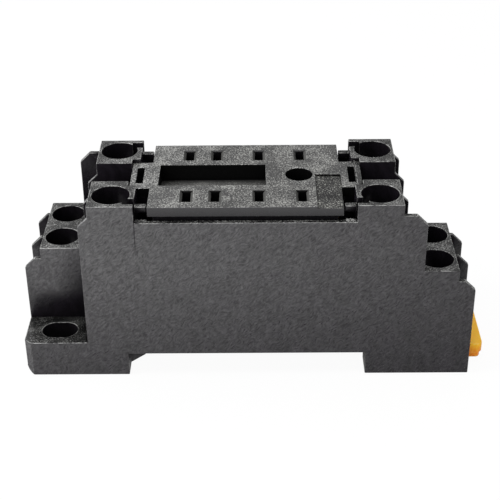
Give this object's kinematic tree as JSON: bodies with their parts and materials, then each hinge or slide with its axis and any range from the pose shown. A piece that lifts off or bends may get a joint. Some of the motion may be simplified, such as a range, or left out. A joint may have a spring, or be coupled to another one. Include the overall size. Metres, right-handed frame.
{
  "type": "relay socket",
  "caption": "Stepped relay socket with screw terminals, a slotted contact plate, slotted fixing feet and a sprung clip for a 35 mm mounting rail.",
  "frame": {"origin": "centre of the rail seat, the ceiling of the rail channel", "axes": "+Z away from the rail, +X across the rail towards the sliding clip, +Y along the rail"},
  "size_m": [0.0749, 0.023, 0.0313],
  "materials": {
    "black_moulding": "moulded, fine spark-eroded texture",
    "grey_moulding": "moulded, coarse grained top",
    "orange_moulding": "smooth, slightly translucent",
    "zinc_steel": "zinc plated",
    "brass_strip": "stamped, bright",
    "bronze_spring": "stamped spring bronze"
  },
  "bodies": {
    "housing": {"housing": "black_moulding", "contact_plate": "grey_moulding", "terminal_strip_1": "brass_strip", "terminal_strip_2": "brass_strip", "terminal_strip_3": "brass_strip", "terminal_strip_4": "brass_strip", "terminal_strip_5": "brass_strip", "terminal_strip_6": "brass_strip", "terminal_strip_7": "brass_strip", "terminal_strip_8": "brass_strip", "fork_contact_1": "bronze_spring", "fork_contact_2": "bronze_spring", "fork_contact_3": "bronze_spring", "fork_contact_4": "bronze_spring", "fork_contact_5": "bronze_spring", "fork_contact_6": "bronze_spring", "fork_contact_7": "bronze_spring", "fork_contact_8": "bronze_spring"},
    "clip": {"rail_clip": "orange_moulding"},
    "washer_1": {"clamp_washer_1": "zinc_steel"},
    "screw_1": {"terminal_screw_1": "zinc_steel"},
    "washer_2": {"clamp_washer_2": "zinc_steel"},
    "screw_2": {"terminal_screw_2": "zinc_steel"},
    "washer_3": {"clamp_washer_3": "zinc_steel"},
    "screw_3": {"terminal_screw_3": "zinc_steel"},
    "washer_4": {"clamp_washer_4": "zinc_steel"},
    "screw_4": {"terminal_screw_4": "zinc_steel"},
    "washer_5": {"clamp_washer_5": "zinc_steel"},
    "screw_5": {"terminal_screw_5": "zinc_steel"},
    "washer_6": {"clamp_washer_6": "zinc_steel"},
    "screw_6": {"terminal_screw_6": "zinc_steel"},
    "washer_7": {"clamp_washer_7": "zinc_steel"},
    "screw_7": {"terminal_screw_7": "zinc_steel"},
    "washer_8": {"clamp_washer_8": "zinc_steel"},
    "screw_8": {"terminal_screw_8": "zinc_steel"}
  },
  "joints": [
    {"name": "clip_slide", "type": "slide", "parent": "housing", "child": "clip", "axis": [1, 0, 0], "range_m": [0, 0.003], "stiffness_N_per_m": 2000, "springref_m": -0.001},
    {"name": "washer_1_lift", "type": "slide", "parent": "housing", "child": "washer_1", "axis": [0, 0, 1], "range_m": [0, 0.002]},
    {"name": "screw_1_turn", "type": "hinge", "parent": "washer_1", "child": "screw_1", "pos_m": [-0.0207, -0.00765, 0.0178], "axis": [0, 0, 1], "range_deg": [0, 1440]},
    {"name": "washer_2_lift", "type": "slide", "parent": "housing", "child": "washer_2", "axis": [0, 0, 1], "range_m": [0, 0.002]},
    {"name": "screw_2_turn", "type": "hinge", "parent": "washer_2", "child": "screw_2", "pos_m": [0.0207, -0.00765, 0.0178], "axis": [0, 0, 1], "range_deg": [0, 1440]},
    {"name": "washer_3_lift", "type": "slide", "parent": "housing", "child": "washer_3", "axis": [0, 0, 1], "range_m": [0, 0.002]},
    {"name": "screw_3_turn", "type": "hinge", "parent": "washer_3", "child": "screw_3", "pos_m": [0.0301, -0.00765, 0.00605], "axis": [0, 0, 1], "range_deg": [0, 1440]},
    {"name": "washer_4_lift", "type": "slide", "parent": "housing", "child": "washer_4", "axis": [0, 0, 1], "range_m": [0, 0.002]},
    {"name": "screw_4_turn", "type": "hinge", "parent": "washer_4", "child": "screw_4", "pos_m": [0.0301, 0, 0.00605], "axis": [0, 0, 1], "range_deg": [0, 1440]},
    {"name": "washer_5_lift", "type": "slide", "parent": "housing", "child": "washer_5", "axis": [0, 0, 1], "range_m": [0, 0.002]},
    {"name": "screw_5_turn", "type": "hinge", "parent": "washer_5", "child": "screw_5", "pos_m": [0.0207, 0.00765, 0.0178], "axis": [0, 0, 1], "range_deg": [0, 1440]},
    {"name": "washer_6_lift", "type": "slide", "parent": "housing", "child": "washer_6", "axis": [0, 0, 1], "range_m": [0, 0.002]},
    {"name": "screw_6_turn", "type": "hinge", "parent": "washer_6", "child": "screw_6", "pos_m": [-0.0207, 0.00765, 0.0178], "axis": [0, 0, 1], "range_deg": [0, 1440]},
    {"name": "washer_7_lift", "type": "slide", "parent": "housing", "child": "washer_7", "axis": [0, 0, 1], "range_m": [0, 0.002]},
    {"name": "screw_7_turn", "type": "hinge", "parent": "washer_7", "child": "screw_7", "pos_m": [-0.0301, 0.00765, 0.00605], "axis": [0, 0, 1], "range_deg": [0, 1440]},
    {"name": "washer_8_lift", "type": "slide", "parent": "housing", "child": "washer_8", "axis": [0, 0, 1], "range_m": [0, 0.002]},
    {"name": "screw_8_turn", "type": "hinge", "parent": "washer_8", "child": "screw_8", "pos_m": [-0.0301, 0, 0.00605], "axis": [0, 0, 1], "range_deg": [0, 1440]}
  ],
  "couplings": [
    {"joint": "screw_1_turn", "follows": "washer_1_lift", "rad_per_m": 12566},
    {"joint": "screw_2_turn", "follows": "washer_2_lift", "rad_per_m": 12566},
    {"joint": "screw_3_turn", "follows": "washer_3_lift", "rad_per_m": 12566},
    {"joint": "screw_4_turn", "follows": "washer_4_lift", "rad_per_m": 12566},
    {"joint": "screw_5_turn", "follows": "washer_5_lift", "rad_per_m": 12566},
    {"joint": "screw_6_turn", "follows": "washer_6_lift", "rad_per_m": 12566},
    {"joint": "screw_7_turn", "follows": "washer_7_lift", "rad_per_m": 12566},
    {"joint": "screw_8_turn", "follows": "washer_8_lift", "rad_per_m": 12566}
  ]
}
